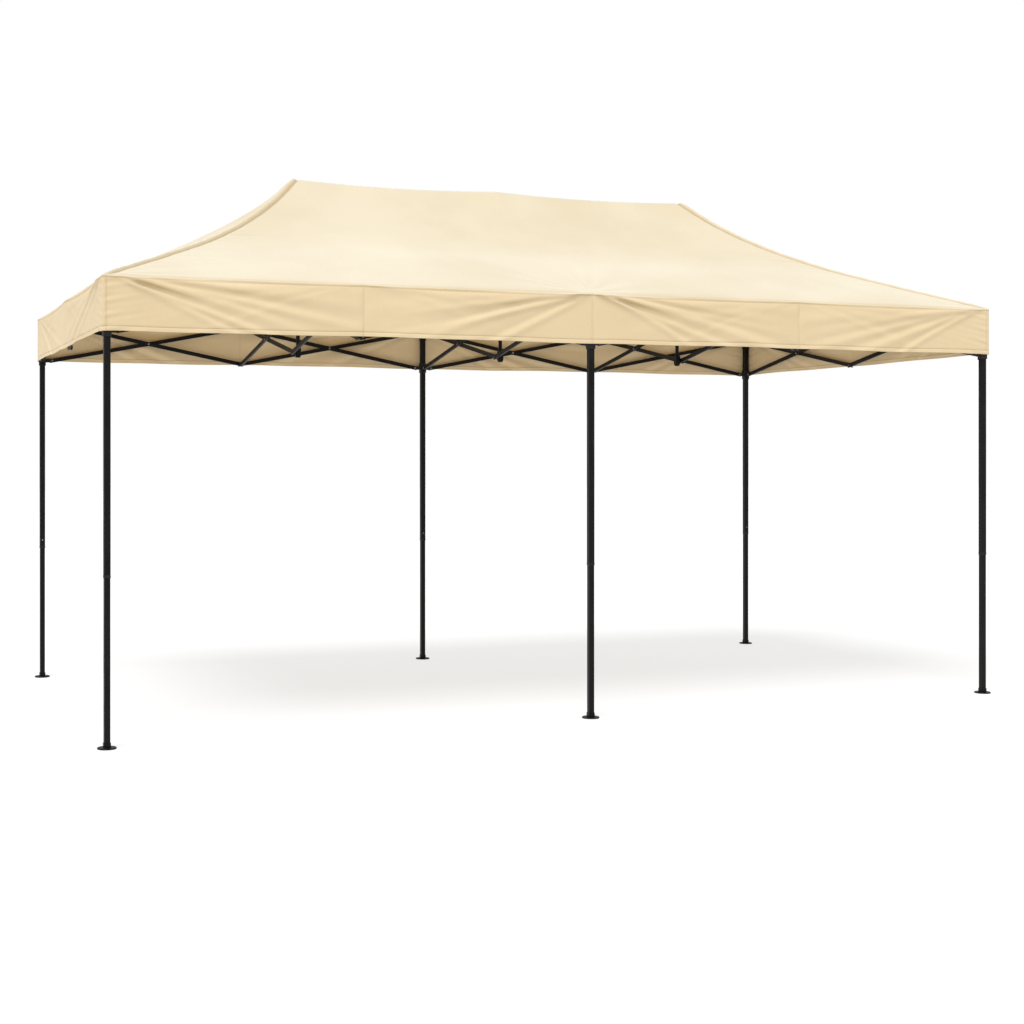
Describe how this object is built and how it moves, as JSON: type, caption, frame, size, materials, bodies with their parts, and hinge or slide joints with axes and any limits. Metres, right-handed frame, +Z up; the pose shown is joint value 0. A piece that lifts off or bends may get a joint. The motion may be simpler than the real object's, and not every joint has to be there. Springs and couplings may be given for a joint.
{
  "type": "pop up canopy",
  "caption": "Folding canopy shelter with a three-peak hipped fabric top, scissor truss frame and telescoping legs on round feet.",
  "frame": {"origin": "on the ground under the middle of the plan", "axes": "+X along the long side, +Y from the front long side to the back one, +Z up"},
  "size_m": [5.946, 3.026, 3.43],
  "materials": {
    "canopy_fabric": "woven polyester",
    "upper_leg_steel": "powder coat",
    "lower_leg_steel": "powder coat",
    "truss_steel": "powder coat",
    "pole_steel": "powder coat",
    "black_plastic": "moulded"
  },
  "bodies": {
    "front_left_upper_leg": {"front_left_upper_leg": "upper_leg_steel"},
    "front_left_slider": {"front_left_slider": "black_plastic"},
    "front_left_lower_leg": {"front_left_lower_leg": "lower_leg_steel"},
    "front_middle_upper_leg": {"front_middle_upper_leg": "upper_leg_steel", "canopy_cover": "canopy_fabric"},
    "front_middle_slider": {"front_middle_slider": "black_plastic"},
    "front_middle_lower_leg": {"front_middle_lower_leg": "lower_leg_steel"},
    "front_right_upper_leg": {"front_right_upper_leg": "upper_leg_steel"},
    "front_right_slider": {"front_right_slider": "black_plastic"},
    "front_right_lower_leg": {"front_right_lower_leg": "lower_leg_steel"},
    "back_left_upper_leg": {"back_left_upper_leg": "upper_leg_steel"},
    "back_left_slider": {"back_left_slider": "black_plastic"},
    "back_left_lower_leg": {"back_left_lower_leg": "lower_leg_steel"},
    "back_middle_upper_leg": {"back_middle_upper_leg": "upper_leg_steel"},
    "back_middle_slider": {"back_middle_slider": "black_plastic"},
    "back_middle_lower_leg": {"back_middle_lower_leg": "lower_leg_steel"},
    "back_right_upper_leg": {"back_right_upper_leg": "upper_leg_steel"},
    "back_right_slider": {"back_right_slider": "black_plastic"},
    "back_right_lower_leg": {"back_right_lower_leg": "lower_leg_steel"},
    "front_truss_bar_1": {"front_truss_bar_1": "truss_steel"},
    "front_truss_bar_2": {"front_truss_bar_2": "truss_steel"},
    "front_truss_bar_3": {"front_truss_bar_3": "truss_steel"},
    "front_truss_bar_4": {"front_truss_bar_4": "truss_steel"},
    "front_truss_bar_5": {"front_truss_bar_5": "truss_steel"},
    "front_truss_bar_6": {"front_truss_bar_6": "truss_steel"},
    "front_truss_bar_7": {"front_truss_bar_7": "truss_steel"},
    "front_truss_bar_8": {"front_truss_bar_8": "truss_steel"},
    "back_truss_bar_1": {"back_truss_bar_1": "truss_steel"},
    "back_truss_bar_2": {"back_truss_bar_2": "truss_steel"},
    "back_truss_bar_3": {"back_truss_bar_3": "truss_steel"},
    "back_truss_bar_4": {"back_truss_bar_4": "truss_steel"},
    "back_truss_bar_5": {"back_truss_bar_5": "truss_steel"},
    "back_truss_bar_6": {"back_truss_bar_6": "truss_steel"},
    "back_truss_bar_7": {"back_truss_bar_7": "truss_steel"},
    "back_truss_bar_8": {"back_truss_bar_8": "truss_steel"},
    "left_truss_bar_1": {"left_truss_bar_1": "truss_steel"},
    "left_truss_bar_2": {"left_truss_bar_2": "truss_steel"},
    "left_truss_bar_3": {"left_truss_bar_3": "truss_steel"},
    "left_truss_bar_4": {"left_truss_bar_4": "truss_steel"},
    "right_truss_bar_1": {"right_truss_bar_1": "truss_steel"},
    "right_truss_bar_2": {"right_truss_bar_2": "truss_steel"},
    "right_truss_bar_3": {"right_truss_bar_3": "truss_steel"},
    "right_truss_bar_4": {"right_truss_bar_4": "truss_steel"},
    "left_cross_bar_1": {"left_cross_bar_1": "truss_steel"},
    "left_cross_bar_2": {"left_cross_bar_2": "truss_steel"},
    "left_cross_bar_3": {"left_cross_bar_3": "truss_steel"},
    "left_cross_bar_4": {"left_cross_bar_4": "truss_steel"},
    "left_peak_pole": {"left_peak_pole": "pole_steel"},
    "middle_cross_bar_1": {"middle_cross_bar_1": "truss_steel"},
    "middle_cross_bar_2": {"middle_cross_bar_2": "truss_steel"},
    "middle_cross_bar_3": {"middle_cross_bar_3": "truss_steel"},
    "middle_cross_bar_4": {"middle_cross_bar_4": "truss_steel"},
    "middle_peak_pole": {"middle_peak_pole": "pole_steel"},
    "right_cross_bar_1": {"right_cross_bar_1": "truss_steel"},
    "right_cross_bar_2": {"right_cross_bar_2": "truss_steel"},
    "right_cross_bar_3": {"right_cross_bar_3": "truss_steel"},
    "right_cross_bar_4": {"right_cross_bar_4": "truss_steel"},
    "right_peak_pole": {"right_peak_pole": "pole_steel"},
    "left_mid_hub": {"left_mid_hub": "black_plastic"},
    "right_mid_hub": {"right_mid_hub": "black_plastic"}
  },
  "joints": [
    {"name": "frame_fold", "type": "hinge", "parent": "front_middle_upper_leg", "child": "middle_cross_bar_1", "pos_m": [0, -1.39, 2.548], "axis": [-1, 0, 0], "range_deg": [0, 76]},
    {"name": "middle_cross_bar_2_pivot", "type": "hinge", "parent": "middle_cross_bar_1", "child": "middle_cross_bar_2", "pos_m": [0, -0.695, 2.412], "axis": [1, 0, 0], "range_deg": [0, 152.5]},
    {"name": "front_middle_slider_pivot", "type": "hinge", "parent": "middle_cross_bar_2", "child": "front_middle_slider", "pos_m": [0, -1.39, 2.276], "axis": [1, 0, 0], "range_deg": [-76.5, 0]},
    {"name": "middle_peak_pole_pivot", "type": "hinge", "parent": "middle_cross_bar_1", "child": "middle_peak_pole", "pos_m": [0, 0, 2.276], "axis": [1, 0, 0], "range_deg": [0, 76.5]},
    {"name": "middle_cross_bar_4_pivot", "type": "hinge", "parent": "middle_peak_pole", "child": "middle_cross_bar_4", "pos_m": [0, 0, 2.276], "axis": [1, 0, 0], "range_deg": [0, 76.5]},
    {"name": "middle_cross_bar_3_pivot", "type": "hinge", "parent": "middle_cross_bar_4", "child": "middle_cross_bar_3", "pos_m": [0, 0.695, 2.412], "axis": [1, 0, 0], "range_deg": [-152.5, 0]},
    {"name": "back_middle_leg_pivot", "type": "hinge", "parent": "middle_cross_bar_4", "child": "back_middle_upper_leg", "pos_m": [0, 1.39, 2.548], "axis": [1, 0, 0], "range_deg": [-76.5, 0]},
    {"name": "back_middle_slider_pivot", "type": "hinge", "parent": "middle_cross_bar_3", "child": "back_middle_slider", "pos_m": [0, 1.39, 2.276], "axis": [1, 0, 0], "range_deg": [0, 76.5]},
    {"name": "front_truss_bar_4_pivot", "type": "hinge", "parent": "front_middle_upper_leg", "child": "front_truss_bar_4", "pos_m": [-0.07, -1.46, 2.548], "axis": [0, 1, 0], "range_deg": [-76.5, 0]},
    {"name": "front_truss_bar_3_pivot", "type": "hinge", "parent": "front_truss_bar_4", "child": "front_truss_bar_3", "pos_m": [-0.765, -1.46, 2.412], "axis": [0, 1, 0], "range_deg": [0, 152.5]},
    {"name": "front_truss_bar_1_pivot", "type": "hinge", "parent": "front_truss_bar_4", "child": "front_truss_bar_1", "pos_m": [-1.46, -1.46, 2.276], "axis": [0, 1, 0], "range_deg": [0, 152.5]},
    {"name": "front_truss_bar_2_pivot", "type": "hinge", "parent": "front_truss_bar_1", "child": "front_truss_bar_2", "pos_m": [-2.155, -1.46, 2.412], "axis": [0, 1, 0], "range_deg": [-152.5, 0]},
    {"name": "front_left_leg_pivot", "type": "hinge", "parent": "front_truss_bar_1", "child": "front_left_upper_leg", "pos_m": [-2.85, -1.46, 2.548], "axis": [0, 1, 0], "range_deg": [-76.5, 0]},
    {"name": "front_left_slider_pivot", "type": "hinge", "parent": "front_truss_bar_2", "child": "front_left_slider", "pos_m": [-2.85, -1.46, 2.276], "axis": [0, 1, 0], "range_deg": [0, 76.5]},
    {"name": "front_truss_bar_5_pivot", "type": "hinge", "parent": "front_middle_upper_leg", "child": "front_truss_bar_5", "pos_m": [0.07, -1.46, 2.548], "axis": [0, 1, 0], "range_deg": [0, 76.5]},
    {"name": "front_truss_bar_6_pivot", "type": "hinge", "parent": "front_truss_bar_5", "child": "front_truss_bar_6", "pos_m": [0.765, -1.46, 2.412], "axis": [0, 1, 0], "range_deg": [-152.5, 0]},
    {"name": "front_truss_bar_8_pivot", "type": "hinge", "parent": "front_truss_bar_5", "child": "front_truss_bar_8", "pos_m": [1.46, -1.46, 2.276], "axis": [0, 1, 0], "range_deg": [-152.5, 0]},
    {"name": "front_truss_bar_7_pivot", "type": "hinge", "parent": "front_truss_bar_8", "child": "front_truss_bar_7", "pos_m": [2.155, -1.46, 2.412], "axis": [0, 1, 0], "range_deg": [0, 152.5]},
    {"name": "front_right_leg_pivot", "type": "hinge", "parent": "front_truss_bar_8", "child": "front_right_upper_leg", "pos_m": [2.85, -1.46, 2.548], "axis": [0, 1, 0], "range_deg": [0, 76.5]},
    {"name": "front_right_slider_pivot", "type": "hinge", "parent": "front_truss_bar_7", "child": "front_right_slider", "pos_m": [2.85, -1.46, 2.276], "axis": [0, 1, 0], "range_deg": [-76.5, 0]},
    {"name": "back_truss_bar_4_pivot", "type": "hinge", "parent": "back_middle_upper_leg", "child": "back_truss_bar_4", "pos_m": [-0.07, 1.46, 2.548], "axis": [0, 1, 0], "range_deg": [-76.5, 0]},
    {"name": "back_truss_bar_3_pivot", "type": "hinge", "parent": "back_truss_bar_4", "child": "back_truss_bar_3", "pos_m": [-0.765, 1.46, 2.412], "axis": [0, 1, 0], "range_deg": [0, 152.5]},
    {"name": "back_truss_bar_1_pivot", "type": "hinge", "parent": "back_truss_bar_4", "child": "back_truss_bar_1", "pos_m": [-1.46, 1.46, 2.276], "axis": [0, 1, 0], "range_deg": [0, 152.5]},
    {"name": "back_truss_bar_2_pivot", "type": "hinge", "parent": "back_truss_bar_1", "child": "back_truss_bar_2", "pos_m": [-2.155, 1.46, 2.412], "axis": [0, 1, 0], "range_deg": [-152.5, 0]},
    {"name": "back_left_leg_pivot", "type": "hinge", "parent": "back_truss_bar_1", "child": "back_left_upper_leg", "pos_m": [-2.85, 1.46, 2.548], "axis": [0, 1, 0], "range_deg": [-76.5, 0]},
    {"name": "back_left_slider_pivot", "type": "hinge", "parent": "back_truss_bar_2", "child": "back_left_slider", "pos_m": [-2.85, 1.46, 2.276], "axis": [0, 1, 0], "range_deg": [0, 76.5]},
    {"name": "back_truss_bar_5_pivot", "type": "hinge", "parent": "back_middle_upper_leg", "child": "back_truss_bar_5", "pos_m": [0.07, 1.46, 2.548], "axis": [0, 1, 0], "range_deg": [0, 76.5]},
    {"name": "back_truss_bar_6_pivot", "type": "hinge", "parent": "back_truss_bar_5", "child": "back_truss_bar_6", "pos_m": [0.765, 1.46, 2.412], "axis": [0, 1, 0], "range_deg": [-152.5, 0]},
    {"name": "back_truss_bar_8_pivot", "type": "hinge", "parent": "back_truss_bar_5", "child": "back_truss_bar_8", "pos_m": [1.46, 1.46, 2.276], "axis": [0, 1, 0], "range_deg": [-152.5, 0]},
    {"name": "back_truss_bar_7_pivot", "type": "hinge", "parent": "back_truss_bar_8", "child": "back_truss_bar_7", "pos_m": [2.155, 1.46, 2.412], "axis": [0, 1, 0], "range_deg": [0, 152.5]},
    {"name": "back_right_leg_pivot", "type": "hinge", "parent": "back_truss_bar_8", "child": "back_right_upper_leg", "pos_m": [2.85, 1.46, 2.548], "axis": [0, 1, 0], "range_deg": [0, 76.5]},
    {"name": "back_right_slider_pivot", "type": "hinge", "parent": "back_truss_bar_7", "child": "back_right_slider", "pos_m": [2.85, 1.46, 2.276], "axis": [0, 1, 0], "range_deg": [-76.5, 0]},
    {"name": "left_truss_bar_1_pivot", "type": "hinge", "parent": "front_left_upper_leg", "child": "left_truss_bar_1", "pos_m": [-2.92, -1.39, 2.548], "axis": [1, 0, 0], "range_deg": [-76.5, 0]},
    {"name": "left_truss_bar_2_pivot", "type": "hinge", "parent": "left_truss_bar_1", "child": "left_truss_bar_2", "pos_m": [-2.92, -0.695, 2.412], "axis": [1, 0, 0], "range_deg": [0, 152.5]},
    {"name": "left_truss_bar_4_pivot", "type": "hinge", "parent": "left_truss_bar_1", "child": "left_truss_bar_4", "pos_m": [-2.92, 0, 2.276], "axis": [1, 0, 0], "range_deg": [0, 152.5]},
    {"name": "left_truss_bar_3_pivot", "type": "hinge", "parent": "left_truss_bar_4", "child": "left_truss_bar_3", "pos_m": [-2.92, 0.695, 2.412], "axis": [1, 0, 0], "range_deg": [-152.5, 0]},
    {"name": "right_truss_bar_1_pivot", "type": "hinge", "parent": "front_right_upper_leg", "child": "right_truss_bar_1", "pos_m": [2.92, -1.39, 2.548], "axis": [1, 0, 0], "range_deg": [-76.5, 0]},
    {"name": "right_truss_bar_2_pivot", "type": "hinge", "parent": "right_truss_bar_1", "child": "right_truss_bar_2", "pos_m": [2.92, -0.695, 2.412], "axis": [1, 0, 0], "range_deg": [0, 152.5]},
    {"name": "right_truss_bar_4_pivot", "type": "hinge", "parent": "right_truss_bar_1", "child": "right_truss_bar_4", "pos_m": [2.92, 0, 2.276], "axis": [1, 0, 0], "range_deg": [0, 152.5]},
    {"name": "right_truss_bar_3_pivot", "type": "hinge", "parent": "right_truss_bar_4", "child": "right_truss_bar_3", "pos_m": [2.92, 0.695, 2.412], "axis": [1, 0, 0], "range_deg": [-152.5, 0]},
    {"name": "left_mid_hub_pivot", "type": "hinge", "parent": "front_truss_bar_3", "child": "left_mid_hub", "pos_m": [-1.46, -1.46, 2.548], "axis": [0, 1, 0], "range_deg": [-76.5, 0]},
    {"name": "left_cross_bar_1_pivot", "type": "hinge", "parent": "left_mid_hub", "child": "left_cross_bar_1", "pos_m": [-1.46, -1.39, 2.548], "axis": [1, 0, 0], "range_deg": [-76.5, 0]},
    {"name": "left_cross_bar_2_pivot", "type": "hinge", "parent": "left_cross_bar_1", "child": "left_cross_bar_2", "pos_m": [-1.46, -0.695, 2.412], "axis": [1, 0, 0], "range_deg": [0, 152.5]},
    {"name": "left_peak_pole_pivot", "type": "hinge", "parent": "left_cross_bar_1", "child": "left_peak_pole", "pos_m": [-1.46, 0, 2.276], "axis": [1, 0, 0], "range_deg": [0, 76.5]},
    {"name": "left_cross_bar_4_pivot", "type": "hinge", "parent": "left_peak_pole", "child": "left_cross_bar_4", "pos_m": [-1.46, 0, 2.276], "axis": [1, 0, 0], "range_deg": [0, 76.5]},
    {"name": "left_cross_bar_3_pivot", "type": "hinge", "parent": "left_cross_bar_4", "child": "left_cross_bar_3", "pos_m": [-1.46, 0.695, 2.412], "axis": [1, 0, 0], "range_deg": [-152.5, 0]},
    {"name": "right_mid_hub_pivot", "type": "hinge", "parent": "front_truss_bar_6", "child": "right_mid_hub", "pos_m": [1.46, -1.46, 2.548], "axis": [0, 1, 0], "range_deg": [0, 76.5]},
    {"name": "right_cross_bar_1_pivot", "type": "hinge", "parent": "right_mid_hub", "child": "right_cross_bar_1", "pos_m": [1.46, -1.39, 2.548], "axis": [1, 0, 0], "range_deg": [-76.5, 0]},
    {"name": "right_cross_bar_2_pivot", "type": "hinge", "parent": "right_cross_bar_1", "child": "right_cross_bar_2", "pos_m": [1.46, -0.695, 2.412], "axis": [1, 0, 0], "range_deg": [0, 152.5]},
    {"name": "right_peak_pole_pivot", "type": "hinge", "parent": "right_cross_bar_1", "child": "right_peak_pole", "pos_m": [1.46, 0, 2.276], "axis": [1, 0, 0], "range_deg": [0, 76.5]},
    {"name": "right_cross_bar_4_pivot", "type": "hinge", "parent": "right_peak_pole", "child": "right_cross_bar_4", "pos_m": [1.46, 0, 2.276], "axis": [1, 0, 0], "range_deg": [0, 76.5]},
    {"name": "right_cross_bar_3_pivot", "type": "hinge", "parent": "right_cross_bar_4", "child": "right_cross_bar_3", "pos_m": [1.46, 0.695, 2.412], "axis": [1, 0, 0], "range_deg": [-152.5, 0]},
    {"name": "front_left_leg_slide", "type": "slide", "parent": "front_left_upper_leg", "child": "front_left_lower_leg", "axis": [0, 0, 1], "range_m": [0, 0.88]},
    {"name": "front_middle_leg_slide", "type": "slide", "parent": "front_middle_upper_leg", "child": "front_middle_lower_leg", "axis": [0, 0, 1], "range_m": [0, 0.88]},
    {"name": "front_right_leg_slide", "type": "slide", "parent": "front_right_upper_leg", "child": "front_right_lower_leg", "axis": [0, 0, 1], "range_m": [0, 0.88]},
    {"name": "back_left_leg_slide", "type": "slide", "parent": "back_left_upper_leg", "child": "back_left_lower_leg", "axis": [0, 0, 1], "range_m": [0, 0.88]},
    {"name": "back_middle_leg_slide", "type": "slide", "parent": "back_middle_upper_leg", "child": "back_middle_lower_leg", "axis": [0, 0, 1], "range_m": [0, 0.88]},
    {"name": "back_right_leg_slide", "type": "slide", "parent": "back_right_upper_leg", "child": "back_right_lower_leg", "axis": [0, 0, 1], "range_m": [0, 0.88]}
  ],
  "couplings": [
    {"joint": "middle_cross_bar_2_pivot", "follows": "frame_fold", "ratio": 2},
    {"joint": "front_middle_slider_pivot", "follows": "frame_fold", "ratio": -1},
    {"joint": "middle_peak_pole_pivot", "follows": "frame_fold", "ratio": 1},
    {"joint": "middle_cross_bar_4_pivot", "follows": "frame_fold", "ratio": 1},
    {"joint": "middle_cross_bar_3_pivot", "follows": "frame_fold", "ratio": -2},
    {"joint": "back_middle_leg_pivot", "follows": "frame_fold", "ratio": -1},
    {"joint": "back_middle_slider_pivot", "follows": "frame_fold", "ratio": 1},
    {"joint": "front_truss_bar_4_pivot", "follows": "frame_fold", "ratio": -1},
    {"joint": "front_truss_bar_3_pivot", "follows": "frame_fold", "ratio": 2},
    {"joint": "front_truss_bar_1_pivot", "follows": "frame_fold", "ratio": 2},
    {"joint": "front_truss_bar_2_pivot", "follows": "frame_fold", "ratio": -2},
    {"joint": "front_left_leg_pivot", "follows": "frame_fold", "ratio": -1},
    {"joint": "front_left_slider_pivot", "follows": "frame_fold", "ratio": 1},
    {"joint": "front_truss_bar_5_pivot", "follows": "frame_fold", "ratio": 1},
    {"joint": "front_truss_bar_6_pivot", "follows": "frame_fold", "ratio": -2},
    {"joint": "front_truss_bar_8_pivot", "follows": "frame_fold", "ratio": -2},
    {"joint": "front_truss_bar_7_pivot", "follows": "frame_fold", "ratio": 2},
    {"joint": "front_right_leg_pivot", "follows": "frame_fold", "ratio": 1},
    {"joint": "front_right_slider_pivot", "follows": "frame_fold", "ratio": -1},
    {"joint": "back_truss_bar_4_pivot", "follows": "frame_fold", "ratio": -1},
    {"joint": "back_truss_bar_3_pivot", "follows": "frame_fold", "ratio": 2},
    {"joint": "back_truss_bar_1_pivot", "follows": "frame_fold", "ratio": 2},
    {"joint": "back_truss_bar_2_pivot", "follows": "frame_fold", "ratio": -2},
    {"joint": "back_left_leg_pivot", "follows": "frame_fold", "ratio": -1},
    {"joint": "back_left_slider_pivot", "follows": "frame_fold", "ratio": 1},
    {"joint": "back_truss_bar_5_pivot", "follows": "frame_fold", "ratio": 1},
    {"joint": "back_truss_bar_6_pivot", "follows": "frame_fold", "ratio": -2},
    {"joint": "back_truss_bar_8_pivot", "follows": "frame_fold", "ratio": -2},
    {"joint": "back_truss_bar_7_pivot", "follows": "frame_fold", "ratio": 2},
    {"joint": "back_right_leg_pivot", "follows": "frame_fold", "ratio": 1},
    {"joint": "back_right_slider_pivot", "follows": "frame_fold", "ratio": -1},
    {"joint": "left_truss_bar_1_pivot", "follows": "frame_fold", "ratio": -1},
    {"joint": "left_truss_bar_2_pivot", "follows": "frame_fold", "ratio": 2},
    {"joint": "left_truss_bar_4_pivot", "follows": "frame_fold", "ratio": 2},
    {"joint": "left_truss_bar_3_pivot", "follows": "frame_fold", "ratio": -2},
    {"joint": "right_truss_bar_1_pivot", "follows": "frame_fold", "ratio": -1},
    {"joint": "right_truss_bar_2_pivot", "follows": "frame_fold", "ratio": 2},
    {"joint": "right_truss_bar_4_pivot", "follows": "frame_fold", "ratio": 2},
    {"joint": "right_truss_bar_3_pivot", "follows": "frame_fold", "ratio": -2},
    {"joint": "left_mid_hub_pivot", "follows": "frame_fold", "ratio": -1},
    {"joint": "left_cross_bar_1_pivot", "follows": "frame_fold", "ratio": -1},
    {"joint": "left_cross_bar_2_pivot", "follows": "frame_fold", "ratio": 2},
    {"joint": "left_peak_pole_pivot", "follows": "frame_fold", "ratio": 1},
    {"joint": "left_cross_bar_4_pivot", "follows": "frame_fold", "ratio": 1},
    {"joint": "left_cross_bar_3_pivot", "follows": "frame_fold", "ratio": -2},
    {"joint": "right_mid_hub_pivot", "follows": "frame_fold", "ratio": 1},
    {"joint": "right_cross_bar_1_pivot", "follows": "frame_fold", "ratio": -1},
    {"joint": "right_cross_bar_2_pivot", "follows": "frame_fold", "ratio": 2},
    {"joint": "right_peak_pole_pivot", "follows": "frame_fold", "ratio": 1},
    {"joint": "right_cross_bar_4_pivot", "follows": "frame_fold", "ratio": 1},
    {"joint": "right_cross_bar_3_pivot", "follows": "frame_fold", "ratio": -2}
  ]
}
